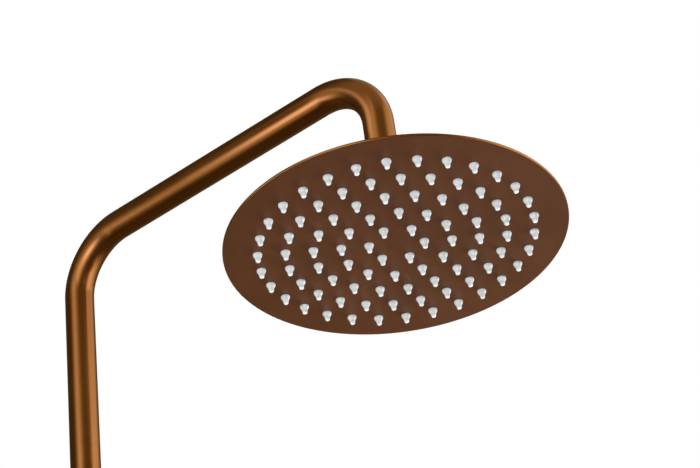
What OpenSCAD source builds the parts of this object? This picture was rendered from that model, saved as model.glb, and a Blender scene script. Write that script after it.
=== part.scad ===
// Outdoor shower: a standing column with a single-lever mixer, one bent tube and a slim round spray head.
// The origin is the middle of the floor plate's underside, +Z is up and the arm points to -Y.

/* [Column and arm] */
// Height of the spray head's underside above the floor
head_h = 2100; // [1900:10:2300]
// Distance between the axis of the column and the axis of the head
reach = 320; // [260:5:400]
// Height of the arm's centreline above the head's underside
arm_rise = 159; // [155:1:200]
// Radius of both bends, on the tube's centreline
bend_r = 50; // [40:1:60]
// Outside diameter of the column and arm tubes
tube_d = 24; // [24:0.5:26]
// Wall of the column and arm tubes
tube_wall = 1.5; // [1.2:0.1:1.6]

/* [Spray head] */
// Diameter of the spray head
head_d = 250; // [240:5:300]
// Thickness of the head at its rim
rim_t = 2; // [2:0.1:3]
// Width of the folded rim that joins the two sheets
rim_w = 1.2; // [1:0.1:2]
// Thickness of the spray plate
spray_t = 0.8; // [0.6:0.1:0.9]
// Thickness of the head's upper sheet
sheet_t = 0.6; // [0.4:0.1:0.7]
// Height of the raised dish in the middle of the upper sheet, above the spray plate's underside
dish_h = 6; // [5:0.5:8]
// Diameter of the raised dish at its foot
dish_d = 76; // [70:1:84]
// Diameter of the raised dish at its flat top
dish_top_d = 60; // [56:1:64]

/* [Nozzles] */
// Number of nozzle rings
rings = 5; // [3:1:5]
// Distance from one nozzle ring to the next
ring_pitch = 20; // [18:0.5:21]
// Nozzles in the innermost ring, and how many more each next ring has
ring_step = 6; // [4:1:6]
// Angle of the first nozzle of every ring
nozzle_turn = 10.2; // [0:0.1:60]
// How far a nozzle stands out below the spray plate
nozzle_l = 6.5; // [5:0.5:8]
// Diameter of a nozzle at its root
nozzle_d = 7; // [6:0.1:7.5]
// Diameter of a nozzle at its tip
nozzle_tip_d = 3.4; // [3:0.1:4]
// Diameter of the water channel in a nozzle
nozzle_bore_d = 2.2; // [1.8:0.1:2.4]
// Diameter of the jet opening at the tip
jet_d = 1.2; // [0.8:0.1:1.5]

/* [Ball joint] */
// Diameter of the ball
ball_d = 22; // [20:0.5:23]
// Water bore through the ball
ball_bore_d = 9; // [7:0.5:10]
// Diameter of the stud's neck below the ball
stud_neck_d = 13; // [12:0.5:13.5]
// Length from the ball's middle to the stud's hexagon
stud_neck_l = 18; // [17:0.5:22]
// Width of the stud's hexagon, over its corners
hexagon_d = 25; // [24:0.5:27]
// Thickness of the stud's hexagon
hexagon_t = 5; // [4:0.5:7]
// Outside diameter of the upper housing of the joint
collar_d = 31; // [30:0.5:33]
// Outside diameter of the retaining nut of the joint
swivel_nut_d = 33; // [32.5:0.5:36]
// Length of the pipe threads in the joint
pipe_thread_l = 14; // [12:1:16]
// How far the head tilts each way
tilt_max = 15; // [5:1:15]

/* [Mixer] */
// Height of the mixer's middle above the floor
mixer_z = 1100; // [900:10:1300]
// Diameter of the upright mixer body
mixer_d = 38; // [36:1:42]
// Height of the upright mixer body
mixer_h = 124; // [118:1:140]
// How deep the tubes sit in the mixer body
mixer_socket_l = 22; // [20:1:26]
// Diameter of the barrel that holds the cartridge
barrel_d = 40; // [40:1:44]
// Length of the barrel from the column's axis
barrel_l = 44; // [43:0.5:46]
// Diameter of the cartridge
cartridge_d = 25; // [25:0.1:26]
// Length of the lever rod above the handle's axis
lever_l = 72; // [60:1:90]
// Diameter of the lever rod
lever_d = 6.4; // [5:0.1:8]
// Diameter of the handle cap
handle_d = 34; // [34:0.5:36]
// Distance from the pivot to the handle's front face
handle_front = 40; // [38:0.5:44]
// How far the lever lifts from shut to full flow
lift_max = 25; // [15:1:25]

/* [Base] */
// Diameter of the floor plate
base_d = 250; // [240:5:320]
// Thickness of the floor plate
base_t = 10; // [8:1:12]
// Diameter of the circle of floor bolts
anchor_pcd = 200; // [160:5:210]
// Diameter of the holes for the floor bolts
anchor_hole_d = 11; // [9:0.5:13]
// Diameter of the base cover
cover_d = 82; // [80:1:100]
// Height of the base cover's top above the floor
cover_top_z = 56; // [54:1:70]
// Wall of the base cover
cover_wall = 1.5; // [1:0.1:2]
// Height of the neck that clamps the column
neck_top_z = 88; // [86:1:110]
// Diameter of the neck that clamps the column
neck_d = 36; // [34:0.5:40]

/* [Water ways] */
// Diameter of the hot and cold inlet threads
inlet_d = 21; // [20:0.1:21.2]
// Depth of the inlet threads
inlet_l = 15; // [13:0.5:16]
// Distance of each inlet from the column's axis
inlet_x = 14; // [13.5:0.1:14.5]
// Diameter of the hot and cold feed tubes inside the column
feed_d = 8; // [7:0.1:8]
// Wall of the feed tubes
feed_wall = 0.8; // [0.6:0.1:1]
// Distance of each feed tube from the column's axis
feed_x = 5.5; // [5.4:0.1:6]
// Diameter of the drilled channels
channel_d = 5; // [4:0.1:5.4]

/* [Fits] */
// Radial clearance where one piece seats in another
seat_gap = 0.05; // [0.03:0.01:0.08]
// Gap between pieces that move past each other
run_gap = 0.3; // [0.25:0.05:0.35]
// Radial clearance of the lever's pivot pin
pin_gap = 0.04; // [0.02:0.01:0.08]

/* [Hidden] */
$fn = 96;
// How far a cutter runs past the face it opens
cut = 1;

bronze = [0.62, 0.40, 0.26];
dark_bronze = [0.36, 0.24, 0.16];
brass = [0.78, 0.64, 0.36];
copper = [0.75, 0.47, 0.33];
steel = [0.72, 0.72, 0.72];
rubber = [0.12, 0.12, 0.12];
silicone = [0.90, 0.92, 0.92];
plastic = [0.30, 0.32, 0.36];
white_plastic = [0.85, 0.85, 0.80];
ceramic = [0.93, 0.91, 0.86];

// Tubes
tube_r = tube_d / 2;
tube_bore_r = tube_r - tube_wall;
arm_z = head_h + arm_rise;
bend_z = arm_z - bend_r;

// Screws
screw_r = 2.5;
screw_head_r = 4.2;
screw_head_h = 5;
head_play = 0.2;
set_screw_r = 2.5;
set_screw_l = 5;
tip_gap = 0.1;

// Seals
seal_wire_r = 0.4;
seal_groove_w = 1.2;
riser_wire_r = 0.75;
riser_groove_w = 1.9;

// Inlet block, from the floor up
block_wall = 2.5;
block_r = inlet_x + inlet_d / 2 + block_wall;
screw_pcd_r = block_r + screw_head_r + 0.8;
block_flange_r = screw_pcd_r + screw_head_r + 1.8;
block_flange_t = 8;
neck_r = neck_d / 2;
valve_r = 5.5;
valve_l = 15;
valve_ledge = 1;
valve_z = inlet_l + valve_ledge;
valve_top_z = valve_z + valve_l;
channel_r = channel_d / 2;
cross_z = valve_top_z + channel_r + 2;
feed_r = feed_d / 2;
feed_bore_r = feed_r - feed_wall;
feed_socket_l = 8;
feed_stop_z = cross_z + 6;
column_floor_z = feed_stop_z + feed_socket_l;
block_h = column_floor_z - 3.5;
seal_rise = 3;
seal_groove_r = feed_r + 2 * (seal_wire_r + seat_gap);

// Mixer: places along the cartridge's axis are distances from the column's axis
mixer_r = mixer_d / 2;
barrel_r = barrel_d / 2;
barrel_step = 1.5;
socket_low_z = mixer_z - mixer_h / 2 + mixer_socket_l;
socket_high_z = mixer_z + mixer_h / 2 - mixer_socket_l;
feed_top_z = socket_low_z + feed_socket_l;
cavity_q = 6;
cartridge_r = cartridge_d / 2;
housing_bore_r = cartridge_r - 1.5;
base_q = cavity_q + 0.4;
base_l = 4;
port_z = -4.5;
outlet_z = 6.5;
port_r = 2.2;
port_seal_r = port_r + 0.1;
port_seal_t = 1.4;
port_seal_w = 1;
fixed_q = base_q + base_l;
fixed_t = 3.5;
moving_q = fixed_q + fixed_t + seat_gap;
moving_t = 3;
moving_r = 8.4;
carrier_q = moving_q + moving_t;
carrier_t = 3;
rotor_q = carrier_q + carrier_t + run_gap;
rotor_l = 11;
pivot_q = rotor_q + 3.7;
housing_front_q = rotor_q + rotor_l + run_gap;
housing_end_q = housing_front_q + 2.5;
nut_r = 16;
nut_l = 8;

// Lever: places along the spindle are distances from the pivot
spindle_r = 4.2;
spindle_end = handle_front - 2;
ball_end_r = 1.75;
ball_end_play = 0.15;
ball_end_s = pivot_q - carrier_q - ball_end_r - ball_end_play - 0.2;
slide_half = ball_end_s * lift_max / 2 * PI / 180;
pin_r = 1.5;
pin_half = 9;
dome_r = norm([barrel_r, barrel_l - pivot_q]);
dome_wall = 2;
dome_skirt_l = 6;
handle_gap = 0.7;
dome_opening_r = (dome_r + handle_gap) * sin(lift_max / 2) + spindle_r + 0.6;
handle_r = handle_d / 2;
handle_edge = 2.5;
grip_s = handle_front - 6.5;
rod_sink = 8;
grip_screw_r = 1.5;

// Ball joint: heights are above the ball's middle
ball_r = ball_d / 2;
washer_t = 2;
boss_top_z = 19;
ball_z = head_h + boss_top_z + washer_t + hexagon_t + stud_neck_l;
pipe_r = 10.4;
collar_r = collar_d / 2;
joint_nut_r = swivel_nut_d / 2;
joint_thread_r = ball_r + 3;
joint_thread_top = 10;
collar_low = -0.8;
chamber_top = ball_r - 1.2;
chamber_r = ball_r + 0.4;
water_hole_r = 6;
ball_seal_r = 7.6;
ball_seal_wire_r = 1.2;
ball_seal_z = sqrt(pow(ball_r + run_gap + ball_seal_wire_r, 2) - pow(ball_seal_r, 2));
regulator_z = chamber_top + 5;
regulator_r = 8;
regulator_t = 5;
filter_z = regulator_z + regulator_t + 1;
filter_t = 1;
filter_cup_h = 8;
filter_cup_r = 5.5;
nipple_low = filter_z + filter_t + washer_t;
collar_top = nipple_low + pipe_thread_l;
tube_end = collar_top + 2;
nipple_spigot_l = 16;
nipple_bore_r = filter_cup_r + 1.5;
stud_thread_l = 11;
nut_drop = 8;
lip_drop = ball_r / 2;
lip_r = sqrt(pow(ball_r + run_gap, 2) - pow(lip_drop, 2));
mouth_r = nut_drop * tan(tilt_max) + stud_neck_d / 2 / cos(tilt_max) + 1.5;

// Spray head: heights are above the spray plate's underside
head_r = head_d / 2;
gap_top = rim_t - sheet_t;
gap_h = gap_top - spray_t;
boss_spigot_r = 12;
boss_r = 20;
nozzle_neck_r = 2;
nozzle_flange_r = 3.4;
root_r = nozzle_d / 2;
tip_r = nozzle_tip_d / 2;

// Helper shapes
module pipe(r_out, r_in, h) difference() {
    cylinder(r = r_out, h = h);
    translate([0, 0, -cut]) cylinder(r = r_in, h = h + 2 * cut);
}

module o_ring(r, wire_r) rotate_extrude() translate([r, 0]) circle(r = wire_r, $fn = 24);

// A hole of radius r through a sheet that lies from z = 0 to z = t
module hole(r, t) translate([0, 0, -cut]) cylinder(r = r, h = t + 2 * cut);

// A disc with a chamfer on its upper edge
module chamfered_disc(r, h, edge) rotate_extrude()
    polygon([[0, 0], [r, 0], [r, h - edge], [r - edge, h], [0, h]]);

module grub_screw() {
    hex_r = 1.4;
    hex_l = 2;
    difference() {
        cylinder(r = set_screw_r, h = set_screw_l);
        translate([0, 0, set_screw_l - hex_l]) cylinder(r = hex_r, h = hex_l + cut, $fn = 6);
    }
}

// Cartridge frame: local z runs out of the barrel and local y is up
module cartridge_frame() translate([0, 0, mixer_z]) rotate([90, 0, 0]) children();

// Lever frame: starts at the pivot, and local z is the spindle's axis with the lever shut
module lever_frame() cartridge_frame() translate([0, 0, pivot_q]) rotate([-lift_max / 2, 0, 0]) children();

module at_ball() translate([0, -reach, ball_z]) children();
module at_head() translate([0, -reach, head_h]) children();

// Base

module block_screw_places() for (a = [45:90:315]) rotate(a) translate([screw_pcd_r, 0, 0]) children();

module base_set_screw_places() {
    clamp_drop = 10;
    for (a = [30:120:270]) rotate(a)
        translate([tube_r, 0, neck_top_z - clamp_drop]) rotate([0, 90, 0]) children();
}

module base_plate() color(bronze) difference() {
    chamfered_disc(base_d / 2, base_t, 1);
    hole(block_r + seat_gap, base_t);
    for (a = [45:90:315]) rotate(a) translate([anchor_pcd / 2, 0, 0]) hole(anchor_hole_d / 2, base_t);
    block_screw_places() hole(screw_r + seat_gap, base_t);
}

// The brass block takes the two supplies, feeds the tubes in the column and clamps the column
module inlet_block() color(brass) difference() {
    flange_top = base_t + block_flange_t;
    union() {
        cylinder(r = block_r, h = block_h);
        translate([0, 0, base_t]) cylinder(r = block_flange_r, h = block_flange_t);
        cylinder(r = neck_r, h = neck_top_z);
    }
    for (side = [-1, 1]) {
        translate([side * inlet_x, 0, 0]) {
            translate([0, 0, -cut]) cylinder(d = inlet_d, h = inlet_l + cut);
            cylinder(r = valve_r + seat_gap, h = valve_top_z + valve_ledge);
            cylinder(r = channel_r - 0.5, h = cross_z);
        }
        translate([side * feed_x, 0, cross_z]) {
            rotate([0, side * 90, 0]) cylinder(r = channel_r, h = block_r);
            cylinder(r = feed_bore_r, h = feed_stop_z - cross_z + cut);
        }
        translate([side * feed_x, 0, feed_stop_z]) {
            cylinder(r = feed_r + seat_gap, h = feed_socket_l + cut);
            translate([0, 0, seal_rise]) cylinder(r = seal_groove_r, h = seal_groove_w);
        }
    }
    translate([0, 0, column_floor_z]) cylinder(r = tube_r + seat_gap, h = neck_top_z);
    block_screw_places() {
        translate([0, 0, base_t - cut]) cylinder(r = screw_r + head_play, h = block_flange_t);
        translate([0, 0, flange_top - screw_head_h])
            cylinder(r = screw_head_r + head_play, h = screw_head_h + cut);
    }
    base_set_screw_places() cylinder(r = set_screw_r + seat_gap, h = neck_r);
}

module inlet_screws() color(steel) block_screw_places() {
    seat_z = base_t + block_flange_t - screw_head_h;
    tip_z = 2;
    hex_r = 2.3;
    hex_l = 3;
    difference() {
        union() {
            translate([0, 0, tip_z]) cylinder(r = screw_r, h = seat_z - tip_z);
            translate([0, 0, seat_z]) cylinder(r = screw_head_r, h = screw_head_h - head_play);
        }
        translate([0, 0, seat_z + screw_head_h - hex_l]) cylinder(r = hex_r, h = hex_l, $fn = 6);
    }
}

module check_valves() color(plastic) for (side = [-1, 1]) translate([side * inlet_x, 0, valve_z])
    difference() {
        mouth_l = valve_l - 5;
        cylinder(r = valve_r, h = valve_l);
        translate([0, 0, -cut]) cylinder(r = valve_r - 1.9, h = mouth_l + cut);
        hole(channel_r - 0.5, valve_l);
    }

module channel_plugs() color(steel) for (side = [-1, 1])
    translate([side * (block_r - 0.5), 0, cross_z]) rotate([0, -side * 90, 0]) difference() {
        hex_l = 2;
        cylinder(r = channel_r - seat_gap, h = 2 * hex_l);
        translate([0, 0, -cut]) cylinder(r = channel_r / 2, h = hex_l + cut, $fn = 6);
    }

module base_cover() color(bronze) translate([0, 0, base_t]) {
    r = cover_d / 2;
    top = cover_top_z - base_t;
    edge = 3;
    soft = 0.3 * edge;
    rotate_extrude() polygon([
        [r - cover_wall, 0], [r, 0], [r, top - edge], [r - soft, top - soft], [r - edge, top],
        [neck_r + seat_gap, top], [neck_r + seat_gap, top - cover_wall], [r - edge, top - cover_wall],
        [r - cover_wall, top - edge]
    ]);
}

module base_set_screws() color(steel) base_set_screw_places() translate([0, 0, tip_gap]) grub_screw();

// Column

module feed_tube(side) translate([side * feed_x, 0, feed_stop_z])
    pipe(feed_r, feed_bore_r, feed_top_z - feed_stop_z);
module hot_feed_tube() color(copper) feed_tube(-1);
module cold_feed_tube() color(copper) feed_tube(1);

module feed_seals() color(rubber) {
    low_z = feed_stop_z + seal_rise + seal_groove_w / 2;
    high_z = feed_top_z - seal_rise - seal_groove_w / 2;
    for (side = [-1, 1], z = [low_z, high_z]) translate([side * feed_x, 0, z])
        o_ring(feed_r + seal_wire_r + seat_gap, seal_wire_r);
}

module lower_tube() color(bronze) translate([0, 0, column_floor_z])
    pipe(tube_r, tube_bore_r, socket_low_z - column_floor_z);

// Mixer

module mixer_set_screw_places() {
    from_floor = 16;
    for (a = [55, 125], z = [socket_low_z - from_floor, socket_high_z + from_floor])
        rotate(a) translate([tube_r, 0, z]) rotate([0, 90, 0]) children();
}
module riser_seal_places() for (from_floor = [4, 9])
    translate([0, 0, socket_high_z + from_floor]) children();

// The two inlet ports and the outlet port, as they meet the cartridge
module ports() for (place = [[-feed_x, port_z], [feed_x, port_z], [0, outlet_z]])
    translate([place[0], place[1], 0]) children();

// The upright body with its barrel, tube sockets and drilled water ways
module mixer_body() color(bronze) difference() {
    outlet_r = 2.8;
    mixed_r = 4.5;
    mixed_z = mixer_z + 4;
    union() {
        translate([0, 0, mixer_z]) for (turn = [0, 180]) rotate([turn, 0, 0])
            chamfered_disc(mixer_r, mixer_h / 2, 1.2);
        cartridge_frame() cylinder(r = barrel_r, h = barrel_l - dome_skirt_l);
        cartridge_frame() cylinder(r = barrel_r - barrel_step, h = barrel_l);
    }
    translate([0, 0, socket_high_z]) cylinder(r = tube_r + seat_gap, h = mixer_h);
    translate([0, 0, socket_low_z - mixer_h]) cylinder(r = tube_r + seat_gap, h = mixer_h);
    riser_seal_places() translate([0, 0, -riser_groove_w / 2])
        cylinder(r = tube_r + 2 * (riser_wire_r + seat_gap), h = riser_groove_w);
    for (side = [-1, 1]) {
        translate([side * feed_x, 0, socket_low_z - cut]) {
            cylinder(r = feed_r + seat_gap, h = feed_socket_l + cut);
            cylinder(r = feed_bore_r, h = mixer_z + port_z + feed_bore_r - socket_low_z + cut);
        }
        translate([side * feed_x, 0, feed_top_z - seal_rise - seal_groove_w])
            cylinder(r = seal_groove_r, h = seal_groove_w);
        cartridge_frame() translate([side * feed_x, port_z, 0]) cylinder(r = port_r, h = cavity_q + cut);
    }
    cartridge_frame() {
        translate([0, outlet_z, 0]) cylinder(r = outlet_r, h = cavity_q + cut);
        translate([0, 0, cavity_q]) cylinder(r = cartridge_r + seat_gap, h = barrel_l);
        translate([0, 0, housing_end_q - 1]) cylinder(r = nut_r + seat_gap, h = barrel_l);
    }
    translate([0, 0, mixed_z]) cylinder(r = mixed_r, h = socket_high_z - mixed_z + cut);
    mixer_set_screw_places() cylinder(r = set_screw_r + seat_gap, h = mixer_r);
}

module mixer_set_screws() color(steel) mixer_set_screw_places() translate([0, 0, tip_gap]) grub_screw();

module riser_seals() color(rubber) riser_seal_places()
    o_ring(tube_r + riser_wire_r + seat_gap, riser_wire_r);

// Cartridge

module cartridge_base() color(plastic) cartridge_frame() translate([0, 0, base_q]) difference() {
    cylinder(r = housing_bore_r - 2 * seat_gap, h = base_l);
    ports() {
        hole(port_r, base_l);
        translate([0, 0, -cut])
            cylinder(r = port_seal_r + port_seal_w + seat_gap, h = cavity_q + port_seal_t - base_q + cut);
    }
}

module port_seals() color(rubber) cartridge_frame() ports()
    translate([0, 0, cavity_q]) pipe(port_seal_r + port_seal_w, port_seal_r, port_seal_t);

module fixed_disc() color(ceramic) cartridge_frame() translate([0, 0, fixed_q]) difference() {
    cylinder(r = housing_bore_r - run_gap, h = fixed_t);
    ports() hole(port_r, fixed_t);
}

module moving_disc() color(ceramic) cartridge_frame() translate([0, -slide_half, moving_q]) difference() {
    pool_r = 5.6;
    pool_l = 1.4;
    cylinder(r = moving_r, h = moving_t);
    translate([0, 0, -cut]) cylinder(r = pool_r, h = pool_l + cut);
}

module disc_carrier() color(plastic) cartridge_frame() translate([0, -slide_half, carrier_q])
    pipe(moving_r, ball_end_r + ball_end_play, carrier_t);

module cartridge_rotor() color(white_plastic) cartridge_frame() translate([0, 0, rotor_q]) difference() {
    slot_half = spindle_r + run_gap;
    slot_l = 16;
    cylinder(r = housing_bore_r - run_gap, h = rotor_l);
    translate([-slot_half, -slot_l / 2, -cut]) cube([2 * slot_half, slot_l, rotor_l + 2 * cut]);
    translate([-cartridge_r, 0, pivot_q - rotor_q]) rotate([0, 90, 0])
        cylinder(r = pin_r + seat_gap, h = cartridge_d);
}

module pivot_pin() color(steel) cartridge_frame()
    translate([-pin_half, 0, pivot_q]) rotate([0, 90, 0]) cylinder(r = pin_r, h = 2 * pin_half);

module cartridge_housing() color(plastic) cartridge_frame() difference() {
    translate([0, 0, cavity_q]) cylinder(r = cartridge_r, h = housing_end_q - cavity_q);
    translate([0, 0, cavity_q - cut]) cylinder(r = housing_bore_r, h = housing_front_q - cavity_q + cut);
    cylinder(r = spindle_r + 3.8, h = housing_end_q + cut);
}

module cartridge_nut() color(brass) cartridge_frame() translate([0, 0, housing_end_q]) difference() {
    hex_r = 13.2;
    hex_l = 4;
    cylinder(r = nut_r, h = nut_l);
    hole(10.6, nut_l);
    translate([0, 0, nut_l - hex_l]) cylinder(r = hex_r, h = hex_l + cut, $fn = 6);
}

// The domed ring on the barrel: its outside is part of a sphere about the pivot
module barrel_dome() color(bronze) cartridge_frame() difference() {
    skirt_q = barrel_l - dome_skirt_l;
    intersection() {
        translate([0, 0, skirt_q]) cylinder(r = barrel_r, h = barrel_l);
        translate([0, 0, pivot_q]) sphere(r = dome_r);
    }
    translate([0, 0, skirt_q - cut])
        cylinder(r = barrel_r - barrel_step + seat_gap, h = dome_skirt_l + cut);
    translate([0, 0, pivot_q]) sphere(r = dome_r - dome_wall);
    cylinder(r = dome_opening_r, h = 2 * barrel_l);
}

// Lever

module lever_rod_place() translate([
    0,
    -pivot_q - grip_s * cos(lift_max / 2),
    mixer_z + grip_s * sin(lift_max / 2) + rod_sink
]) children();

module grip_screw_place() lever_frame() translate([0, 0, grip_s]) rotate([90, 0, 0]) children();

// The stem that tilts on the pivot pin and pushes the moving disc
module spindle() color(steel) lever_frame() difference() {
    tail_l = 2.6;
    tail_r = 1.1;
    union() {
        translate([0, 0, -tail_l]) cylinder(r = spindle_r, h = spindle_end + tail_l);
        translate([0, 0, -ball_end_s]) cylinder(r = tail_r, h = ball_end_s);
        translate([0, 0, -ball_end_s]) sphere(r = ball_end_r);
    }
    translate([-cartridge_r, 0, 0]) rotate([0, 90, 0]) cylinder(r = pin_r + pin_gap, h = cartridge_d);
}

module handle_cap() color(bronze) difference() {
    soft = 0.3 * handle_edge;
    lever_frame() difference() {
        rotate_extrude() polygon([
            [0, 0], [handle_r, 0], [handle_r, handle_front - handle_edge],
            [handle_r - soft, handle_front - soft], [handle_r - handle_edge, handle_front],
            [0, handle_front]
        ]);
        sphere(r = dome_r + handle_gap);
        cylinder(r = spindle_r + seat_gap, h = spindle_end);
    }
    grip_screw_place() cylinder(r = grip_screw_r + seat_gap, h = handle_r + cut);
    lever_rod_place() cylinder(r = lever_d / 2 + seat_gap, h = lever_l);
}

module lever_rod() color(bronze) lever_rod_place()
    chamfered_disc(lever_d / 2, lever_l - rod_sink, 0.8);

module handle_screw() color(steel) grip_screw_place() translate([0, 0, spindle_r + tip_gap]) difference() {
    screw_l = 6;
    hex_l = 1.5;
    cylinder(r = grip_screw_r, h = screw_l);
    translate([0, 0, screw_l - hex_l]) cylinder(r = grip_screw_r / 2, h = hex_l + cut, $fn = 6);
}

module handle_plug() color(dark_bronze) grip_screw_place() translate([0, 0, handle_r - 3])
    cylinder(r = grip_screw_r, h = 2.6);

// Overhead tube and the fittings at its end

// The way of the tube, from the mixer up, over both bends and down to the ball joint
module riser_path(r, past) {
    low_z = socket_high_z - past;
    end_z = ball_z + tube_end - past;
    translate([0, 0, low_z]) cylinder(r = r, h = bend_z - low_z);
    translate([0, -bend_r, bend_z]) rotate([90, 0, 90]) rotate_extrude(angle = 90)
        translate([bend_r, 0]) circle(r = r);
    translate([0, -bend_r, arm_z]) rotate([90, 0, 0]) cylinder(r = r, h = reach - 2 * bend_r);
    translate([0, bend_r - reach, bend_z]) rotate([90, 0, 90]) rotate(90) rotate_extrude(angle = 90)
        translate([bend_r, 0]) circle(r = r);
    translate([0, -reach, end_z]) cylinder(r = r, h = bend_z - end_z);
}

module riser_tube() color(bronze) difference() {
    riser_path(tube_r, 0);
    riser_path(tube_bore_r, cut);
}

module arm_nipple() color(bronze) at_ball() difference() {
    union() {
        translate([0, 0, nipple_low]) cylinder(r = pipe_r, h = pipe_thread_l);
        translate([0, 0, collar_top]) cylinder(r = tube_r, h = tube_end - collar_top);
        translate([0, 0, tube_end]) cylinder(r = tube_bore_r - seat_gap, h = nipple_spigot_l);
    }
    translate([0, 0, nipple_low - cut]) cylinder(r = nipple_bore_r, h = 2 * collar_top);
}

module filter_screen() color(steel) at_ball() translate([0, 0, filter_z]) difference() {
    mesh_wall = 0.5;
    union() {
        cylinder(r = pipe_r - 0.1, h = filter_t);
        cylinder(r = filter_cup_r, h = filter_cup_h);
    }
    translate([0, 0, -cut]) cylinder(r = filter_cup_r - mesh_wall, h = filter_cup_h - mesh_wall + cut);
    for (a = [0:45:315]) rotate(a) translate([0, 0, 4.5]) rotate([0, 90, 0]) cylinder(r = 1, h = pipe_r);
    for (a = [0:60:300]) rotate(a) translate([3, 0, filter_cup_h / 2]) cylinder(r = 0.9, h = filter_cup_h);
}

module flow_regulator() color(plastic) at_ball() translate([0, 0, regulator_z]) difference() {
    pocket_l = 2;
    cylinder(r = regulator_r, h = regulator_t);
    for (a = [0:60:300]) rotate(a) translate([4.6, 0, 0]) hole(1.1, regulator_t);
    translate([0, 0, regulator_t - pocket_l]) cylinder(r = 3, h = pocket_l + cut);
}

module pipe_washer() color(rubber) at_ball()
    translate([0, 0, filter_z + filter_t]) pipe(pipe_r, nipple_bore_r + 0.2, washer_t);

// Ball joint

module swivel_collar() color(bronze) at_ball() difference() {
    groove_w = 2 * (ball_seal_wire_r + tip_gap);
    groove_top = ball_seal_z + groove_w / 2;
    union() {
        translate([0, 0, collar_low]) cylinder(r = joint_thread_r, h = joint_thread_top - collar_low);
        translate([0, 0, joint_thread_top]) chamfered_disc(collar_r, collar_top - joint_thread_top, 1.5);
    }
    translate([0, 0, collar_low - cut]) cylinder(r = chamber_r, h = chamber_top - collar_low + cut);
    translate([0, 0, chamber_top - cut])
        pipe(ball_seal_r + groove_w / 2, ball_seal_r - groove_w / 2, groove_top - chamber_top + cut);
    cylinder(r = water_hole_r, h = regulator_z + cut);
    translate([0, 0, regulator_z]) cylinder(r = regulator_r + tip_gap, h = filter_z);
    translate([0, 0, filter_z]) cylinder(r = pipe_r + seat_gap, h = collar_top);
}

module swivel_nut() color(bronze) at_ball() difference() {
    nut_h = nut_drop + joint_thread_top;
    grip_r = 1.3;
    translate([0, 0, -nut_drop]) cylinder(r = joint_nut_r, h = nut_h);
    translate([0, 0, collar_low - 0.2]) cylinder(r = joint_thread_r + seat_gap, h = 2 * joint_thread_top);
    sphere(r = ball_r + run_gap);
    translate([0, 0, -nut_drop]) cylinder(r1 = mouth_r, r2 = lip_r, h = nut_drop - lip_drop);
    for (a = [0:30:330]) rotate(a) translate([joint_nut_r + 0.6, 0, -nut_drop]) hole(grip_r, nut_h);
}

module ball_seal() color(rubber) at_ball() translate([0, 0, ball_seal_z])
    o_ring(ball_seal_r, ball_seal_wire_r);

module ball_seat() color(white_plastic) at_ball() difference() {
    seat_low = 4;
    translate([0, 0, seat_low]) cylinder(r = chamber_r - run_gap, h = chamber_top - run_gap - seat_low);
    sphere(r = ball_r + run_gap);
    cylinder(r = ball_seal_r + ball_seal_wire_r + 0.4, h = ball_d);
}

module ball_stud() color(bronze) at_ball() difference() {
    hexagon_low = -stud_neck_l - hexagon_t;
    union() {
        sphere(r = ball_r);
        translate([0, 0, -stud_neck_l]) cylinder(d = stud_neck_d, h = stud_neck_l);
        translate([0, 0, hexagon_low]) cylinder(d = hexagon_d, h = hexagon_t, $fn = 6);
        translate([0, 0, hexagon_low - stud_thread_l]) cylinder(r = pipe_r, h = stud_thread_l + cut);
    }
    translate([0, 0, hexagon_low - stud_thread_l - cut])
        cylinder(d = ball_bore_d, h = stud_thread_l - hexagon_low + ball_d);
}

module stud_washer() color(rubber) at_head()
    translate([0, 0, boss_top_z]) pipe(pipe_r + 1.6, pipe_r + 0.1, washer_t);

// Spray head

module head_boss() color(bronze) at_head() difference() {
    neck = boss_r - 4;
    floor_z = dish_h + 2;
    rotate_extrude() polygon([
        [0, dish_h - sheet_t], [boss_spigot_r, dish_h - sheet_t], [boss_spigot_r, dish_h],
        [boss_r, dish_h], [boss_r, floor_z], [neck, floor_z + 3], [neck, boss_top_z - 1],
        [neck - 1, boss_top_z], [0, boss_top_z]
    ]);
    translate([0, 0, floor_z]) cylinder(r = pipe_r + seat_gap, h = boss_top_z);
    cylinder(r = nipple_bore_r, h = boss_top_z);
}

module head_shell() color(bronze) at_head() {
    spigot_hole_r = boss_spigot_r + seat_gap;
    foot_r = dish_d / 2;
    top_r = dish_top_d / 2;
    edge = 0.3;
    rotate_extrude() polygon([
        [head_r, spray_t], [head_r, rim_t - edge], [head_r - edge, rim_t], [foot_r, rim_t], [top_r, dish_h],
        [spigot_hole_r, dish_h], [spigot_hole_r, dish_h - sheet_t], [top_r - sheet_t, dish_h - sheet_t],
        [foot_r - sheet_t, gap_top], [head_r - rim_w, gap_top], [head_r - rim_w, spray_t]
    ]);
}

// The disc under the inlet that spreads the water, on three feet
module flow_spreader() color(steel) at_head() translate([0, 0, spray_t]) {
    r = 24;
    foot_h = 1.6;
    disc_t = 0.8;
    foot_turn = nozzle_turn + 180 / ring_step;
    difference() {
        translate([0, 0, foot_h]) cylinder(r = r, h = disc_t);
        for (a = [22.5:45:337.5]) rotate(a) translate([0.6 * r, 0, foot_h]) hole(2, disc_t);
    }
    for (a = [0:120:240]) rotate(a + foot_turn) translate([9, 0, 0])
        cylinder(r = 2, h = foot_h + disc_t / 2);
}

// Small discs between the two sheets, halfway between the nozzle rings
module spacer_pads() color(steel) at_head() translate([0, 0, spray_t]) {
    r = 3;
    for (ring = [2:rings], i = [0:5]) rotate(60 * i + nozzle_turn)
        translate([ring_pitch * (ring + 0.5), 0, 0]) cylinder(r = r, h = gap_h);
}

// Every nozzle's place, ring by ring
module nozzle_places() for (ring = [1:rings], i = [0:ring_step * ring - 1])
    rotate(nozzle_turn + i * 360 / (ring_step * ring)) translate([ring_pitch * ring, 0, 0]) children();

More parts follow.
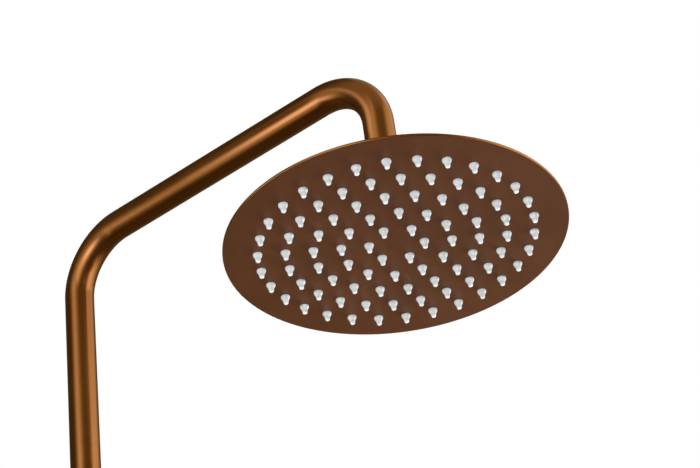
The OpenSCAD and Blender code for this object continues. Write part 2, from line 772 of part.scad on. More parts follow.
module spray_plate() color(dark_bronze) at_head() difference() {
    edge = 0.3;
    rotate_extrude() polygon([[0, 0], [head_r - edge, 0], [head_r, edge], [head_r, spray_t], [0, spray_t]]);
    nozzle_places() hole(nozzle_neck_r + seat_gap, spray_t);
}

// One soft nozzle: a flange above the plate, a neck through it and a tapered bulb below
module nozzle() {
    bore_r = nozzle_bore_d / 2;
    flange_top = spray_t + gap_h - 0.1;
    rotate_extrude($fn = 24) polygon([
        [bore_r, flange_top], [nozzle_flange_r, flange_top], [nozzle_flange_r, spray_t],
        [nozzle_neck_r, spray_t], [nozzle_neck_r, 0], [root_r - 0.4, 0], [root_r - 0.05, -0.45],
        [root_r, -1], [root_r - 0.15, -1.6], [root_r - 0.5, -2.3], [tip_r, 0.8 - nozzle_l],
        [tip_r - 0.15, 0.25 - nozzle_l], [tip_r - 0.45, -nozzle_l], [jet_d / 2, -nozzle_l],
        [jet_d / 2, 1 - nozzle_l], [bore_r, 2.4 - nozzle_l]
    ]);
}
module nozzles() color(silicone) at_head() nozzle_places() nozzle();

base_plate();
inlet_block();
inlet_screws();
check_valves();
channel_plugs();
base_cover();
base_set_screws();
hot_feed_tube();
cold_feed_tube();
feed_seals();
lower_tube();
mixer_body();
mixer_set_screws();
riser_seals();
cartridge_base();
port_seals();
fixed_disc();
cartridge_housing();
cartridge_nut();
barrel_dome();
cartridge_rotor();
pivot_pin();
moving_disc();
disc_carrier();
spindle();
handle_cap();
lever_rod();
handle_screw();
handle_plug();
riser_tube();
arm_nipple();
filter_screen();
flow_regulator();
pipe_washer();
swivel_collar();
swivel_nut();
ball_seal();
ball_seat();
ball_stud();
stud_washer();
head_boss();
head_shell();
flow_spreader();
spacer_pads();
spray_plate();
nozzles();
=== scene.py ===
# Outdoor shower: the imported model, dressed and set up for a studio picture.
import bpy, math
from mathutils import Matrix, Vector


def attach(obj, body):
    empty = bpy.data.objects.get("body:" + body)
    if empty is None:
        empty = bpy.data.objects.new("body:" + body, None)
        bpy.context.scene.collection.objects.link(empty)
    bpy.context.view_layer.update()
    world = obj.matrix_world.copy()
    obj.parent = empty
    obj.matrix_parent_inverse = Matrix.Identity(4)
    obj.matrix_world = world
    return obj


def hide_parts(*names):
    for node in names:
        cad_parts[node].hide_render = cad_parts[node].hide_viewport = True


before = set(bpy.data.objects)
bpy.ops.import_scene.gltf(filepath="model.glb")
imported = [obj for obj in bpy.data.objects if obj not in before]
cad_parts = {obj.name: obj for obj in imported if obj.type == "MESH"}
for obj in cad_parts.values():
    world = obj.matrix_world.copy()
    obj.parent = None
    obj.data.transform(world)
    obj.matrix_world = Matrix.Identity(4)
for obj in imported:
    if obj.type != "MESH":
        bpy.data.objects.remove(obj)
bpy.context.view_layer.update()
bpy.ops.object.select_all(action="DESELECT")
mm = 0.001  # the pieces' own tables are in mm, the materials' and the studio's in metres
weldGap = 0.001 * mm
headPlace = (0, -320, 2100)  # middle of the spray plate's underside
print("frame loaded:", len(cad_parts), "nodes")


# Shader maths: a number on its way through a material
class Signal:
    def __init__(self, finish, socket):
        self.finish, self.socket = finish, socket

    def calc(self, operation, first, second):
        return self.finish.node("ShaderNodeMath", {"operation": operation}, {0: first, 1: second})

    def __add__(self, other):
        return self.calc("ADD", self, other)

    def __radd__(self, other):
        return self.calc("ADD", other, self)

    def __sub__(self, other):
        return self.calc("SUBTRACT", self, other)

    def __rsub__(self, other):
        return self.calc("SUBTRACT", other, self)

    def __mul__(self, other):
        return self.calc("MULTIPLY", self, other)

    def __rmul__(self, other):
        return self.calc("MULTIPLY", other, self)

    def then(self, operation, second=0.0):  # the Math operations that have no sign of their own
        return self.calc(operation, self, second)

    def rise(self, low, high):  # 0 below low, 1 above high, smooth between
        sockets = {"Value": self, "From Min": low, "From Max": high}
        return self.finish.node("ShaderNodeMapRange", {"interpolation_type": "SMOOTHSTEP"}, sockets)


# One material and its node tree
class Finish:
    def __init__(self, name, tree=None):
        if tree is None:
            self.material = bpy.data.materials.new(name)
            self.material.use_nodes = True
            tree = self.material.node_tree
            self.shader = tree.nodes["Principled BSDF"]
        self.tree = tree

    def feed(self, socket, value):
        if isinstance(value, Signal):
            self.tree.links.new(value.socket, socket)
        elif socket.type == "RGBA" and len(value) == 3:
            socket.default_value = (*value, 1)
        else:
            socket.default_value = value

    def node(self, kind, settings=(), sockets=(), output=0):
        made = self.tree.nodes.new(kind)
        for key, value in dict(settings).items():
            setattr(made, key, value)
        for key, value in dict(sockets).items():
            self.feed(made.inputs[key], value)
        return Signal(self, made.outputs[output])

    def place(self):
        return self.node("ShaderNodeTexCoord", output="Object")

    def parts(self):
        node = self.node("ShaderNodeSeparateXYZ", {}, {"Vector": self.place()}).socket.node
        return [Signal(self, output) for output in node.outputs]

    def noise(self, scale, detail, stretch=(1, 1, 1)):
        spot = self.node("ShaderNodeMapping", {}, {"Vector": self.place(), "Scale": stretch})
        return self.node("ShaderNodeTexNoise", {}, {"Vector": spot, "Scale": scale, "Detail": detail})

    def cloud(self, scale, detail):  # slow patches, from 0 to 1
        return self.noise(scale, detail).rise(0.3, 0.7)

    def tint(self, share, first, second):
        sockets = {0: share, 6: first, 7: second}
        return self.node("ShaderNodeMix", {"data_type": "RGBA"}, sockets, output=2)

    def bump(self, height, depth):
        self.set(Normal=self.node("ShaderNodeBump", {}, {"Height": height, "Distance": depth, "Strength": 0.5}))

    def set(self, **sockets):
        for key, value in sockets.items():
            self.feed(self.shader.inputs[key.replace("_", " ")], value)

    def show(self, shader):
        self.feed(self.tree.nodes["Material Output"].inputs["Surface"], shader)


# Materials. A colour is linear; a cloud is the slow change over the piece, a grain the fine one. Shares say how
# much each adds to the colour, uneven how much the roughness changes, and depth how deep the bump is
bronzeLooks = {
    "tube": {"light": (0.53, 0.216, 0.067), "deep": (0.45, 0.176, 0.051), "rough": 0.235, "uneven": 0.05},
    "head": {"light": (0.50, 0.204, 0.065), "deep": (0.42, 0.165, 0.049), "rough": 0.27, "uneven": 0.06},
    "fitting": {"light": (0.53, 0.216, 0.067), "deep": (0.44, 0.172, 0.050), "rough": 0.25, "uneven": 0.05},
    "base": {"light": (0.47, 0.195, 0.065), "deep": (0.38, 0.153, 0.049), "rough": 0.31, "uneven": 0.08},
}
bronzeMarks = {"cloud": 14, "grain": 1400, "roundTube": 2600, "level": 1500, "stretch": (0.05, 0.05, 1),
               "shares": (0.7, 0.3), "depth": 0.000004}


# The polishing marks go round a tube, and round the other pieces at one height
def bronzeFinish(name, look, along=None, marks=bronzeMarks):
    finish = Finish(name)
    cloud = finish.cloud(marks["cloud"], 4)
    grain = finish.noise(marks["grain"], 3)
    if along:
        distance = finish.node("ShaderNodeAttribute", {"attribute_name": along}, output="Fac")
        brushed = finish.node("ShaderNodeTexNoise", {"noise_dimensions": "1D"},
                              {"W": distance, "Scale": marks["roundTube"], "Detail": 3})
    else:
        brushed = finish.noise(marks["level"], 3, marks["stretch"])
    most, rest = marks["shares"]
    finish.set(Base_Color=finish.tint(cloud * most + grain * rest, look["deep"], look["light"]),
               Roughness=look["rough"] - look["uneven"] + look["uneven"] * (cloud + brushed),
               Metallic=1.0)
    finish.bump(brushed * most + grain * rest, marks["depth"])
    return finish.material


plateLook = {"light": (0.138, 0.046, 0.014), "deep": (0.108, 0.035, 0.010), "rough": 0.46, "metal": 0.35,
             "rim": (0.62, 0.25, 0.075), "rimRough": 0.3, "rimEdge": (0.1243, 0.1245),
             "cloud": 22, "smear": 120, "smearStretch": (1, 0.25, 1), "grain": 1800,
             "shares": (0.5, 0.3, 0.2), "uneven": 0.08, "depth": 0.00002}


# Matt all over, polished on the rounded rim
def plateFinish(look):
    finish = Finish("matt bronze plate")
    cloud = finish.cloud(look["cloud"], 3)
    smear = finish.noise(look["smear"], 3, look["smearStretch"])
    grain = finish.noise(look["grain"], 2)
    east, north = finish.parts()[:2]
    north = north - headPlace[1] * mm
    radius = (east * east + north * north).then("SQRT")
    rim = radius.rise(*look["rimEdge"])
    slow, drawn, fine = look["shares"]
    matt = finish.tint(cloud * slow + smear * drawn + grain * fine, look["deep"], look["light"])
    rough = look["rough"] + look["uneven"] * (smear - 0.5) + look["uneven"] * (grain - 0.5)
    finish.set(Base_Color=finish.tint(rim, matt, look["rim"]),
               Roughness=rough + rim * (look["rimRough"] - rough),
               Metallic=look["metal"] + rim * (1 - look["metal"]))
    finish.bump(grain, look["depth"])
    return finish.material


plainLooks = {
    "raw_brass": {"light": (0.80, 0.58, 0.27), "deep": (0.70, 0.47, 0.19), "rough": 0.30, "metal": 1, "grain": 900,
                  "plated": (0.050, 0.100), "plating": (0.50, 0.204, 0.065)},
    "copper_pipe": {"light": (0.86, 0.50, 0.36), "deep": (0.72, 0.36, 0.24), "rough": 0.32, "metal": 1,
                    "grain": 500},
    "stainless": {"light": (0.66, 0.65, 0.63), "deep": (0.56, 0.55, 0.54), "rough": 0.28, "metal": 1,
                  "grain": 1100},
    "black_rubber": {"light": (0.030, 0.030, 0.031), "deep": (0.018, 0.018, 0.018), "rough": 0.62, "metal": 0,
                     "grain": 1300},
    "white_seat": {"light": (0.82, 0.82, 0.80), "deep": (0.75, 0.75, 0.72), "rough": 0.42, "metal": 0,
                   "grain": 900},
    "grey_plastic": {"light": (0.16, 0.17, 0.18), "deep": (0.12, 0.13, 0.14), "rough": 0.45, "metal": 0,
                     "grain": 1200},
    "white_plastic": {"light": (0.80, 0.79, 0.75), "deep": (0.73, 0.72, 0.68), "rough": 0.40, "metal": 0,
                      "grain": 1000},
    "ceramic_white": {"light": (0.86, 0.84, 0.79), "deep": (0.80, 0.78, 0.72), "rough": 0.22, "metal": 0,
                      "grain": 700},
    "dark_plug": {"light": (0.060, 0.042, 0.030), "deep": (0.045, 0.030, 0.021), "rough": 0.50, "metal": 0,
                  "grain": 1200},
}
plainMarks = {"cloud": 60, "shares": (0.6, 0.4), "uneven": 0.12, "edge": 0.001, "depth": 0.00003}


def plainFinish(name, look, marks=plainMarks):
    finish = Finish(name)
    cloud = finish.cloud(marks["cloud"], 3)
    grain = finish.noise(look["grain"], 3)
    slow, fine = marks["shares"]
    colour = finish.tint(cloud * slow + grain * fine, look["deep"], look["light"])
    if "plated" in look:  # only the part that shows above the base cover is plated
        up = finish.parts()[2]
        bottom, top = look["plated"]
        band = up.rise(bottom, bottom + marks["edge"]) * (1 - up.rise(top, top + marks["edge"]))
        colour = finish.tint(band, colour, look["plating"])
    finish.set(Base_Color=colour, Roughness=look["rough"] + marks["uneven"] * (grain - 0.5),
               Metallic=look["metal"])
    finish.bump(grain, marks["depth"])
    return finish.material


siliconeLook = {"light": (0.89, 0.97, 0.98), "deep": (0.83, 0.92, 0.94), "rough": 0.34, "uneven": 0.1,
                "cloud": 250, "scatter": 0.7, "scatterDepth": 0.004}


def siliconeFinish(look):
    finish = Finish("clear silicone")
    cloud = finish.cloud(look["cloud"], 2)
    finish.set(Base_Color=finish.tint(cloud, look["deep"], look["light"]),
               Roughness=look["rough"] + look["uneven"] * (cloud - 0.5))
    finish.set(Subsurface_Weight=look["scatter"], Subsurface_Radius=(1, 1, 1),
               Subsurface_Scale=look["scatterDepth"])
    return finish.material


finishes = {name: plainFinish(name.replace("_", " "), look) for name, look in plainLooks.items()}
finishes["tube_bronze"] = bronzeFinish("polished bronze tube", bronzeLooks["tube"], "alongTube")
finishes["head_bronze"] = bronzeFinish("bronze upper sheet", bronzeLooks["head"])
finishes["fitting_bronze"] = bronzeFinish("bronze fitting", bronzeLooks["fitting"])
finishes["base_bronze"] = bronzeFinish("bronze base", bronzeLooks["base"])
finishes["plate_bronze"] = plateFinish(plateLook)
finishes["clear_silicone"] = siliconeFinish(siliconeLook)
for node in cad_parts.values():
    for slot in node.material_slots:
        slot.material = finishes[slot.material.name.split(".")[0]]
print("materials made:", len(finishes))


# Making pieces
def startPiece(name):
    piece = bpy.context.object
    piece.name = piece.data.name = name
    bpy.ops.object.transform_apply(location=True, rotation=True, scale=True)
    bpy.ops.object.mode_set(mode="EDIT")
    bpy.ops.mesh.select_all(action="SELECT")
    return piece


def extrudeBy(x, y, z):
    bpy.ops.mesh.extrude_region_move(TRANSFORM_OT_translate={"value": (x, y, z)})


# A turned piece: a plane is merged to a point, drawn along the profile's (radius, height) points and spun round
def turnPiece(name, profile, steps):
    points = [(radius * mm, height * mm) for radius, height in profile]
    bpy.ops.object.select_all(action="DESELECT")
    bpy.ops.mesh.primitive_plane_add(size=mm)
    piece = startPiece(name)
    bpy.ops.mesh.merge(type="CENTER")
    bpy.ops.transform.translate(value=(points[0][0], 0, points[0][1]))
    for (r0, z0), (r1, z1) in zip(points, points[1:] + points[:1]):
        extrudeBy(r1 - r0, 0, z1 - z0)
    bpy.ops.mesh.select_all(action="SELECT")
    bpy.ops.mesh.remove_doubles(threshold=weldGap)
    bpy.ops.mesh.spin(steps=steps, angle=2 * math.pi, center=(0, 0, 0), axis=(0, 0, 1))
    closeMesh()
    return piece


# A rounded corner for a profile: a quarter turn from the start angle
def roundCorner(radius, height, curve, start, steps=5):
    angles = [math.radians(start + 90 * step / steps) for step in range(steps + 1)]
    return [(radius + curve * math.cos(angle), height + curve * math.sin(angle)) for angle in angles]


def closeMesh():
    bpy.ops.mesh.select_all(action="SELECT")
    bpy.ops.mesh.remove_doubles(threshold=weldGap)
    bpy.ops.mesh.normals_make_consistent(inside=False)
    bpy.ops.object.mode_set(mode="OBJECT")


def modify(piece, kind, **settings):
    bpy.context.view_layer.objects.active = piece
    modifier = piece.modifiers.new(kind.lower(), kind)
    for key, value in settings.items():
        setattr(modifier, key, value)
    bpy.ops.object.modifier_apply(modifier=modifier.name)


def softenEdges(piece, width, segments=3, angle=30):
    modify(piece, "BEVEL", width=width * mm, segments=segments, limit_method="ANGLE",
           angle_limit=math.radians(angle), use_clamp_overlap=True)


def putAt(piece, place, turn=(0, 0, 0)):
    bpy.ops.object.select_all(action="DESELECT")
    piece.select_set(True)
    bpy.context.view_layer.objects.active = piece
    piece.location = [value * mm for value in place]
    piece.rotation_euler = [math.radians(value) for value in turn]
    bpy.ops.object.transform_apply(location=True, rotation=True, scale=True)


def joinPieces(pieces, name):
    bpy.ops.object.select_all(action="DESELECT")
    for piece in pieces:
        piece.select_set(True)
    bpy.context.view_layer.objects.active = pieces[0]
    bpy.ops.object.join()
    pieces[0].name = pieces[0].data.name = name
    return pieces[0]


def copyPiece(piece, place, turn):
    twin = piece.copy()
    twin.data = piece.data.copy()
    bpy.context.scene.collection.objects.link(twin)
    putAt(twin, place, (0, 0, turn))
    return twin


def drill(piece, holes, sides, depth):  # each hole is its (x, y, radius)
    bpy.ops.object.select_all(action="DESELECT")
    cutters = []
    for x, y, radius in holes:
        bpy.ops.mesh.primitive_cylinder_add(vertices=sides, radius=radius * mm, depth=depth * mm,
                                            location=(x * mm, y * mm, 0))
        cutters.append(bpy.context.object)
    cutter = joinPieces(cutters, "holes")
    modify(piece, "BOOLEAN", object=cutter, operation="DIFFERENCE", solver="EXACT")
    bpy.data.objects.remove(cutter)


def finishPiece(piece, slotName, body, node, smoothAngle=30):
    bpy.ops.object.select_all(action="DESELECT")
    piece.select_set(True)
    bpy.context.view_layer.objects.active = piece
    bpy.ops.object.shade_smooth_by_angle(angle=math.radians(smoothAngle))
    piece.data.materials.clear()
    piece.data.materials.append(finishes[slotName])
    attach(piece, body)
    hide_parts(node)
    print("piece:", piece.name, len(piece.data.polygons), "faces")


# Tubes: a circle is drawn out along its middle line and then gets its wall
tubeShape = {"radius": 12, "wall": 1.5, "sides": 96, "run": 40}


def startTube(name, bottom):
    bpy.ops.object.select_all(action="DESELECT")
    bpy.ops.mesh.primitive_circle_add(vertices=tubeShape["sides"], radius=tubeShape["radius"] * mm,
                                      location=(0, 0, bottom * mm))
    return startPiece(name)


def runTube(direction, length):
    steps = max(1, round(length / tubeShape["run"]))
    for step in range(steps):
        extrudeBy(*[part * length / steps * mm for part in direction])


def closeTube(piece, distance):
    closeMesh()
    modify(piece, "SOLIDIFY", thickness=tubeShape["wall"] * mm, offset=-1)
    along = piece.data.attributes.new("alongTube", "FLOAT", "POINT")
    along.data.foreach_set("value", [distance(vertex.co) for vertex in piece.data.vertices])


overheadShape = {"bottom": 1140, "bendHeight": 2209, "bendRadius": 50, "bendSteps": 28, "reach": 320,
                 "end": 2183.8}


def bendTube(shape, middle):
    bpy.ops.mesh.spin(steps=shape["bendSteps"], angle=-math.pi / 2, axis=(1, 0, 0),
                      center=(0, middle * mm, shape["bendHeight"] * mm))


# Distance along the tube's middle line, so the polishing marks go round it also in the bends
def alongOverhead(spot, shape):
    bend, height, reach = (shape[key] * mm for key in ("bendRadius", "bendHeight", "reach"))
    quarter, arm = bend * math.pi / 2, reach - 2 * bend
    if spot.z <= height:
        return spot.z if spot.y > -reach / 2 else height + 2 * quarter + arm + height - spot.z
    if spot.y > -bend:
        return height + bend * math.atan2(spot.z - height, spot.y + bend)
    if spot.y > bend - reach:
        return height + quarter - bend - spot.y
    return height + quarter + arm + bend * math.atan2(bend - reach - spot.y, spot.z - height)


def makeOverheadTube(shape):
    piece = startTube("overheadTube", shape["bottom"])
    runTube((0, 0, 1), shape["bendHeight"] - shape["bottom"])
    bendTube(shape, -shape["bendRadius"])
    runTube((0, -1, 0), shape["reach"] - 2 * shape["bendRadius"])
    bendTube(shape, shape["bendRadius"] - shape["reach"])
    runTube((0, 0, -1), shape["bendHeight"] - shape["end"])
    closeTube(piece, lambda spot: alongOverhead(spot, shape))
    finishPiece(piece, "tube_bronze", "column", "riser_tube")


columnShape = {"bottom": 49.5, "top": 1060}


def makeColumnTube(shape):
    piece = startTube("columnTube", shape["bottom"])
    runTube((0, 0, 1), shape["top"] - shape["bottom"])
    closeTube(piece, lambda spot: spot.z)
    finishPiece(piece, "tube_bronze", "column", "lower_tube")


makeOverheadTube(overheadShape)
makeColumnTube(columnShape)


# Spray head: heights are above the plate's underside. A nozzle's profile goes down its outside, round the tip, up
# the bore and round the flange behind the plate, and each ring has one step more nozzles than the last
nozzleShape = {"rings": 5, "pitch": 20, "step": 6, "turn": 10.2, "sides": 32, "smoothAngle": 50, "profile": [
    (2.00, 0), (3.30, 0), (3.38, -0.12), (3.41, -0.45), (3.37, -0.9), (3.26, -1.4), (3.02, -1.95), (2.67, -2.6),
    (2.35, -3.2), (2.10, -3.85), (1.94, -4.5), (1.84, -5.1), (1.77, -5.65), (1.71, -6.08), (1.56, -6.35),
    (1.32, -6.47), (1.02, -6.5), (0.60, -6.5), (0.60, -5.5), (1.10, -4.1), (1.10, 1.3), (3.40, 1.3),
    (3.40, 0.8), (2.00, 0.8)]}


def nozzlePlaces(shape):
    for ring in range(1, shape["rings"] + 1):
        radius = shape["pitch"] * ring
        for number in range(shape["step"] * ring):
            angle = shape["turn"] + 360 * number / (shape["step"] * ring)
            yield radius * math.cos(math.radians(angle)), radius * math.sin(math.radians(angle)), angle


def makeNozzles(shape):
    first = turnPiece("nozzle", shape["profile"], shape["sides"])
    east, north, up = headPlace
    copies = [copyPiece(first, (east + x, north + y, up), angle) for x, y, angle in nozzlePlaces(shape)]
    bpy.data.objects.remove(first)
    nozzles = joinPieces(copies, "sprayNozzles")
    finishPiece(nozzles, "clear_silicone", "head", "nozzles", smoothAngle=shape["smoothAngle"])


plateShape = {"radius": 124.95, "thick": 0.8, "round": 0.72, "hole": 2.05, "holeSides": 20, "sides": 144}


def makeSprayPlate(shape):
    radius, curve = shape["radius"], shape["round"]
    piece = turnPiece("sprayPlate", [(0, 0)] + roundCorner(radius - curve, curve, curve, -90)
                      + [(radius, shape["thick"]), (0, shape["thick"])], shape["sides"])
    holes = [(x, y, shape["hole"]) for x, y, angle in nozzlePlaces(nozzleShape)]
    drill(piece, holes, shape["holeSides"], 5 * shape["thick"])
    putAt(piece, headPlace)
    finishPiece(piece, "plate_bronze", "head", "spray_plate")


sheetShape = {"radius": 124.95, "bottom": 0.8, "rim": 2, "rimWidth": 1.2, "round": 0.5, "sheet": 0.6, "dish": 6,
              "dishFoot": 38, "footEase": (2, 0.12), "dishTop": 30, "topEase": (1, 0.35), "spigot": 12.05,
              "sides": 144}


def makeUpperSheet(shape):
    radius, curve, rim, sheet, dish = (shape[key] for key in ("radius", "round", "rim", "sheet", "dish"))
    foot, top, (footRun, footRise), (topRun, topDrop) = (
        shape[key] for key in ("dishFoot", "dishTop", "footEase", "topEase"))
    outside = [(radius, shape["bottom"])] + roundCorner(radius - curve, rim - curve, curve, 0) + [
        (foot + footRun, rim), (foot, rim + footRise), (top + topRun, dish - topDrop), (top - topRun, dish),
        (shape["spigot"], dish)]
    inside = [(shape["spigot"], dish - sheet), (top - sheet, dish - sheet), (foot - sheet, rim - sheet),
              (radius - shape["rimWidth"], rim - sheet), (radius - shape["rimWidth"], shape["bottom"])]
    piece = turnPiece("upperSheet", outside + inside, shape["sides"])
    putAt(piece, headPlace)
    finishPiece(piece, "head_bronze", "head", "head_shell")


makeSprayPlate(plateShape)
makeUpperSheet(sheetShape)
makeNozzles(nozzleShape)


# Base
basePlateShape = {"radius": 124.95, "thick": 10, "middle": 27.05, "lowRound": 0.5, "topRound": 1.8, "edge": 0.4,
                  "sides": 144, "holeSides": 48,
                  "anchors": (5.5, 100), "screws": (2.55, 32)}  # radius of the holes and of their circle


def makeBasePlate(shape):
    radius, thick, middle, low, top = (
        shape[key] for key in ("radius", "thick", "middle", "lowRound", "topRound"))
    edge = roundCorner(radius - low, low, low, -90) + roundCorner(radius - top, thick - top, top, 0, steps=7)
    piece = turnPiece("basePlate", [(middle, 0)] + edge + [(middle, thick)], shape["sides"])
    quarters = [math.radians(45 + 90 * quarter) for quarter in range(4)]
    holes = [(circle * math.cos(angle), circle * math.sin(angle), hole)
             for hole, circle in (shape["anchors"], shape["screws"]) for angle in quarters]
    drill(piece, holes, shape["holeSides"], 3 * thick)
    softenEdges(piece, shape["edge"], angle=35)
    finishPiece(piece, "base_bronze", "column", "base_plate")


coverShape = {"radius": 40.97, "foot": 10.02, "top": 55.98, "round": 3, "wall": 1.5, "neck": 18.05,
              "edge": 0.25, "sides": 128}


def makeBaseCover(shape):
    radius, foot, top, wall, curve = (shape[key] for key in ("radius", "foot", "top", "wall", "round"))
    outside = roundCorner(radius - curve, top - curve, curve, 0, steps=8)
    inside = roundCorner(radius - curve, top - curve, curve - wall, 0, steps=8)
    piece = turnPiece("baseCover", [(radius - wall, foot), (radius, foot)] + outside
                      + [(shape["neck"], top), (shape["neck"], top - wall)] + inside[::-1], shape["sides"])
    softenEdges(piece, shape["edge"], segments=2, angle=50)
    finishPiece(piece, "base_bronze", "column", "base_cover")


makeBasePlate(basePlateShape)
makeBaseCover(coverShape)


# Lever, and the boss that joins the spray head to its ball joint
leverShape = {"radius": 3.18, "length": 64, "place": (0, -56.66, 1115.25), "topRound": 0.9, "lowRound": 0.4,
              "sides": 48}


def makeLeverRod(shape):
    radius, length, low, top = (shape[key] for key in ("radius", "length", "lowRound", "topRound"))
    piece = turnPiece("leverRod", [(0, 0)] + roundCorner(radius - low, low, low, -90)
                      + roundCorner(radius - top, length - top, top, 0) + [(0, length)], shape["sides"])
    putAt(piece, shape["place"])
    finishPiece(piece, "fitting_bronze", "lever", "lever_rod")


bossShape = {"radius": 19.97, "foot": 6, "step": 8, "neck": 15.97, "shoulder": 11, "top": 19, "chamfer": 1,
             "bore": 10.45, "spigot": 11.97, "spigotFoot": 5.42, "waterHole": 7, "edge": 0.45, "sides": 96}


def makeHeadBoss(shape):
    hole, bore, neck, top = (shape[key] for key in ("waterHole", "bore", "neck", "top"))
    piece = turnPiece("headBoss", [
        (hole, shape["spigotFoot"]), (shape["spigot"], shape["spigotFoot"]), (shape["spigot"], shape["foot"]),
        (shape["radius"], shape["foot"]), (shape["radius"], shape["step"]), (neck, shape["shoulder"]),
        (neck, top - shape["chamfer"]), (neck - shape["chamfer"], top), (bore, top), (bore, shape["step"]),
        (hole, shape["step"])], shape["sides"])
    softenEdges(piece, shape["edge"], segments=4, angle=25)
    putAt(piece, headPlace)
    finishPiece(piece, "fitting_bronze", "head", "head_boss")


makeLeverRod(leverShape)
makeHeadBoss(bossShape)


# Camera, fitted to the photograph
cameraView = {"place": (-0.9381, -0.9392, 1.3491), "forward": (0.67688, 0.47522, 0.56213),
              "right": (0.63121, -0.76761, -0.11114), "lens": 96.97, "sensor": 36, "clip": (0.05, 60)}


def makeCamera(view):
    forward = Vector(view["forward"]).normalized()
    right = Vector(view["right"])
    right = (right - forward * right.dot(forward)).normalized()
    bpy.ops.object.camera_add(location=view["place"])
    camera = bpy.context.object
    camera.name = "photoCamera"
    camera.rotation_euler = Matrix((right, right.cross(forward), -forward)).transposed().to_euler()
    camera.data.lens, camera.data.sensor_width = view["lens"], view["sensor"]
    camera.data.clip_start, camera.data.clip_end = view["clip"]
    bpy.context.scene.camera = camera


makeCamera(cameraView)


# Studio: white surroundings and a pale floor that fades into them. The fill is the share of the white that lights
# the object
studioLook = {"fill": 0.6, "floor": 0.72, "floorRough": 0.9, "floorShine": 0.1, "floorSize": 40,
              "floorFade": (0.3, 1.3)}


def makeWorld(look):
    world = bpy.context.scene.world or bpy.data.worlds.new("studio")
    bpy.context.scene.world = world
    world.use_nodes = True
    studio = Finish("studio", world.node_tree)
    camera, glossy, through = [studio.node("ShaderNodeLightPath", output=ray)
                               for ray in ("Is Camera Ray", "Is Glossy Ray", "Is Transmission Ray")]
    background = world.node_tree.nodes["Background"]
    studio.feed(background.inputs["Color"], (1, 1, 1))
    studio.feed(background.inputs["Strength"], (camera + glossy + through) * (1 - look["fill"]) + look["fill"])


def makeFloor(look):
    bpy.ops.mesh.primitive_plane_add(size=look["floorSize"])
    floor = bpy.context.object
    floor.name = "studioFloor"
    finish = Finish("pale floor")
    finish.set(Base_Color=(look["floor"],) * 3, Roughness=look["floorRough"],
               Specular_IOR_Level=look["floorShine"])
    away = finish.node("ShaderNodeVectorMath", {"operation": "LENGTH"}, {0: finish.place()}, output="Value")
    share = away.rise(*look["floorFade"]) * finish.node("ShaderNodeLightPath", output="Is Camera Ray")
    white = finish.node("ShaderNodeEmission", {}, {"Color": (1, 1, 1), "Strength": 1.0})
    paper = Signal(finish, finish.shader.outputs[0])
    finish.show(finish.node("ShaderNodeMixShader", {}, {0: share, 1: paper, 2: white}))
    floor.data.materials.append(finish.material)


def hideCard(card):  # only reflections show it
    card.visible_camera = card.visible_diffuse = card.visible_shadow = False
    card.visible_transmission = card.visible_volume_scatter = False


# The metal reflects a closed tent, dark but for its soft boxes. Heights are angles from the eye point, and angles
# round the column below the seam count on past 360
tentLook = {"radius": 3.0, "bottom": 0.003, "top": 9.0, "sides": 96, "eye": 2.2, "seam": 60, "dark": 0.08,
            "tone": (1.0, 0.80, 0.36), "floorGlow": 0.5, "glowReach": (0.9, 2.0)}
# A soft box comes up over its first pair of angles round the column, goes over the second, then the same upwards
softBoxes = {
    "armWide": ((125, 162), (148, 156), (-67, -49), (-41, -18), 1.23),
    "armCore": ((147, 156), (153, 161), (-43, -32), (-22, 17), 1.6),
    "armSide": ((108, 148), (139, 147), (-32, -22), (-20, 21), 1.67),
    "bend": ((157, 193), (199, 229), (-63, -1), (15, 28), 1.15),
    "column": ((145, 182), (169, 198), (22, 28), (23, 42), 1.50),
    "crown": ((170, 192), (183, 218), (10, 41), (38, 56), 0.78),
    "right": ((260, 294), (289, 359), (-60, -15), (20, 28), 1.40),
    "drop": ((150, 160), (168, 186), (33, 37), (40, 45), 0.42),
    "rightHigh": ((277, 336), (320, 362), (18, 26), (44, 80), 0.90),
    "rightCore": ((254, 284), (288, 315), (18, 27), (38, 51), 0.62),
    "above": ((133, 159), (385, 403), (-39, 7), (77, 100), 0.08),
    "sky": ((144, 162), (385, 403), (36, 54), (170, 180), 0.18),
}


def tentLight(finish, look, boxes):
    east, north, up = finish.parts()
    angle = north.then("ARCTAN2", east) * (180 / math.pi)
    angle = angle + 360 * angle.then("LESS_THAN", look["seam"])
    away = (east * east + north * north).then("SQRT")
    height = (up - look["eye"]).then("ARCTAN2", away) * (180 / math.pi)
    reach = finish.node("ShaderNodeLightPath", output="Ray Length")
    light = look["floorGlow"] * (1 - reach.rise(*look["glowReach"]))
    for start, end, foot, head, level in boxes.values():
        box = level * angle.rise(*start) * (1 - angle.rise(*end)) * height.rise(*foot) * (1 - height.rise(*head))
        light = light + box
    return light


def makeTent(look, boxes):
    finish = Finish("tent light")
    level = tentLight(finish, look, boxes)
    share = level.then("MINIMUM", 1.0)
    tone = finish.tint(share, look["tone"], (1, 1, 1))
    strength = level + look["dark"] * (1 - share)
    finish.show(finish.node("ShaderNodeEmission", {}, {"Color": tone, "Strength": strength}))
    bpy.ops.object.select_all(action="DESELECT")
    bpy.ops.mesh.primitive_cylinder_add(vertices=look["sides"], radius=look["radius"],
                                        depth=look["top"] - look["bottom"],
                                        location=(0, 0, (look["top"] + look["bottom"]) / 2))
    tent = bpy.context.object
    bpy.ops.object.transform_apply(location=True)
    tent.name = "studioTent"
    tent.data.materials.append(finish.material)
    hideCard(tent)


def turnTo(thing, place, aim):
    thing.location = place
    thing.rotation_euler = (Vector(aim) - Vector(place)).to_track_quat("-Z", "Y").to_euler()


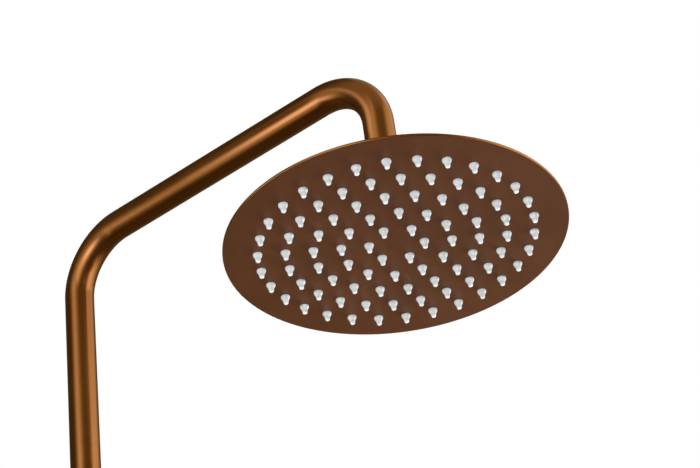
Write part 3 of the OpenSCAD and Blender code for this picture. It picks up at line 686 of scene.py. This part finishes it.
# Small lights close by: one for the bright spots on the arm's end and the first bend, one for the drop's streak
stripLights = {
    "armStrip": {"place": (-0.345, -0.075, 2.115), "aim": (0, -0.15, 2.25), "inner": (0.02, 0.04),
                 "outer": (0.12, 0.14), "light": 1.5, "tone": (0.9, 1.02, 1.5)},
    "dropStrip": {"place": (-0.0795, -0.2710, 2.2668), "aim": (-0.0269, -0.3313, 2.2068), "inner": (0.006, 0.010),
                  "outer": (0.045, 0.026), "light": 0.98, "tone": (1, 1, 1)},
}


def makeStrips(table):
    for name, look in table.items():
        bpy.ops.mesh.primitive_plane_add(size=2 * max(look["outer"]))
        strip = bpy.context.object
        strip.name = name
        turnTo(strip, look["place"], look["aim"])
        finish = Finish(name)
        level = look["light"]
        for side, inner, outer in zip(finish.parts(), look["inner"], look["outer"]):
            level = level * (1 - side.then("ABSOLUTE").rise(inner, outer))
        glow = finish.node("ShaderNodeEmission", {}, {"Color": look["tone"], "Strength": level})
        clear = finish.node("ShaderNodeBsdfTransparent")
        finish.show(finish.node("ShaderNodeAddShader", {}, {0: clear, 1: glow}))
        strip.data.materials.append(finish.material)
        hideCard(strip)


lamps = {
    "keyLamp": {"place": (-2.0, -2.4, 3.6), "aim": (0, -0.1, 1.2), "size": 2.0, "power": 60},
    "sideLamp": {"place": (2.8, -1.2, 2.6), "aim": (0, -0.1, 1.2), "size": 1.8, "power": 35},
    "backLamp": {"place": (-0.6, 3.0, 3.4), "aim": (0, -0.1, 1.2), "size": 1.8, "power": 35},
    "lowLamp": {"place": (1.9, -0.35, 1.3), "aim": (0, -0.32, 2.1), "size": 1.8, "power": 55},
    "lowLeft": {"place": (-2.1, -0.5, 1.5), "aim": (0, -0.32, 2.1), "size": 1.4, "power": 18},
}


def makeLamps(table):
    for name, lamp in table.items():
        bpy.ops.object.light_add(type="AREA", location=lamp["place"])
        light = bpy.context.object
        light.name = name
        light.data.shape = "SQUARE"
        light.data.size, light.data.energy = lamp["size"], lamp["power"]
        turnTo(light, lamp["place"], lamp["aim"])
        light.visible_camera = light.visible_glossy = False


makeWorld(studioLook)
makeFloor(studioLook)
makeTent(tentLook, softBoxes)
makeStrips(stripLights)
makeLamps(lamps)
bpy.context.scene.view_settings.view_transform = "Standard"
print("studio set")
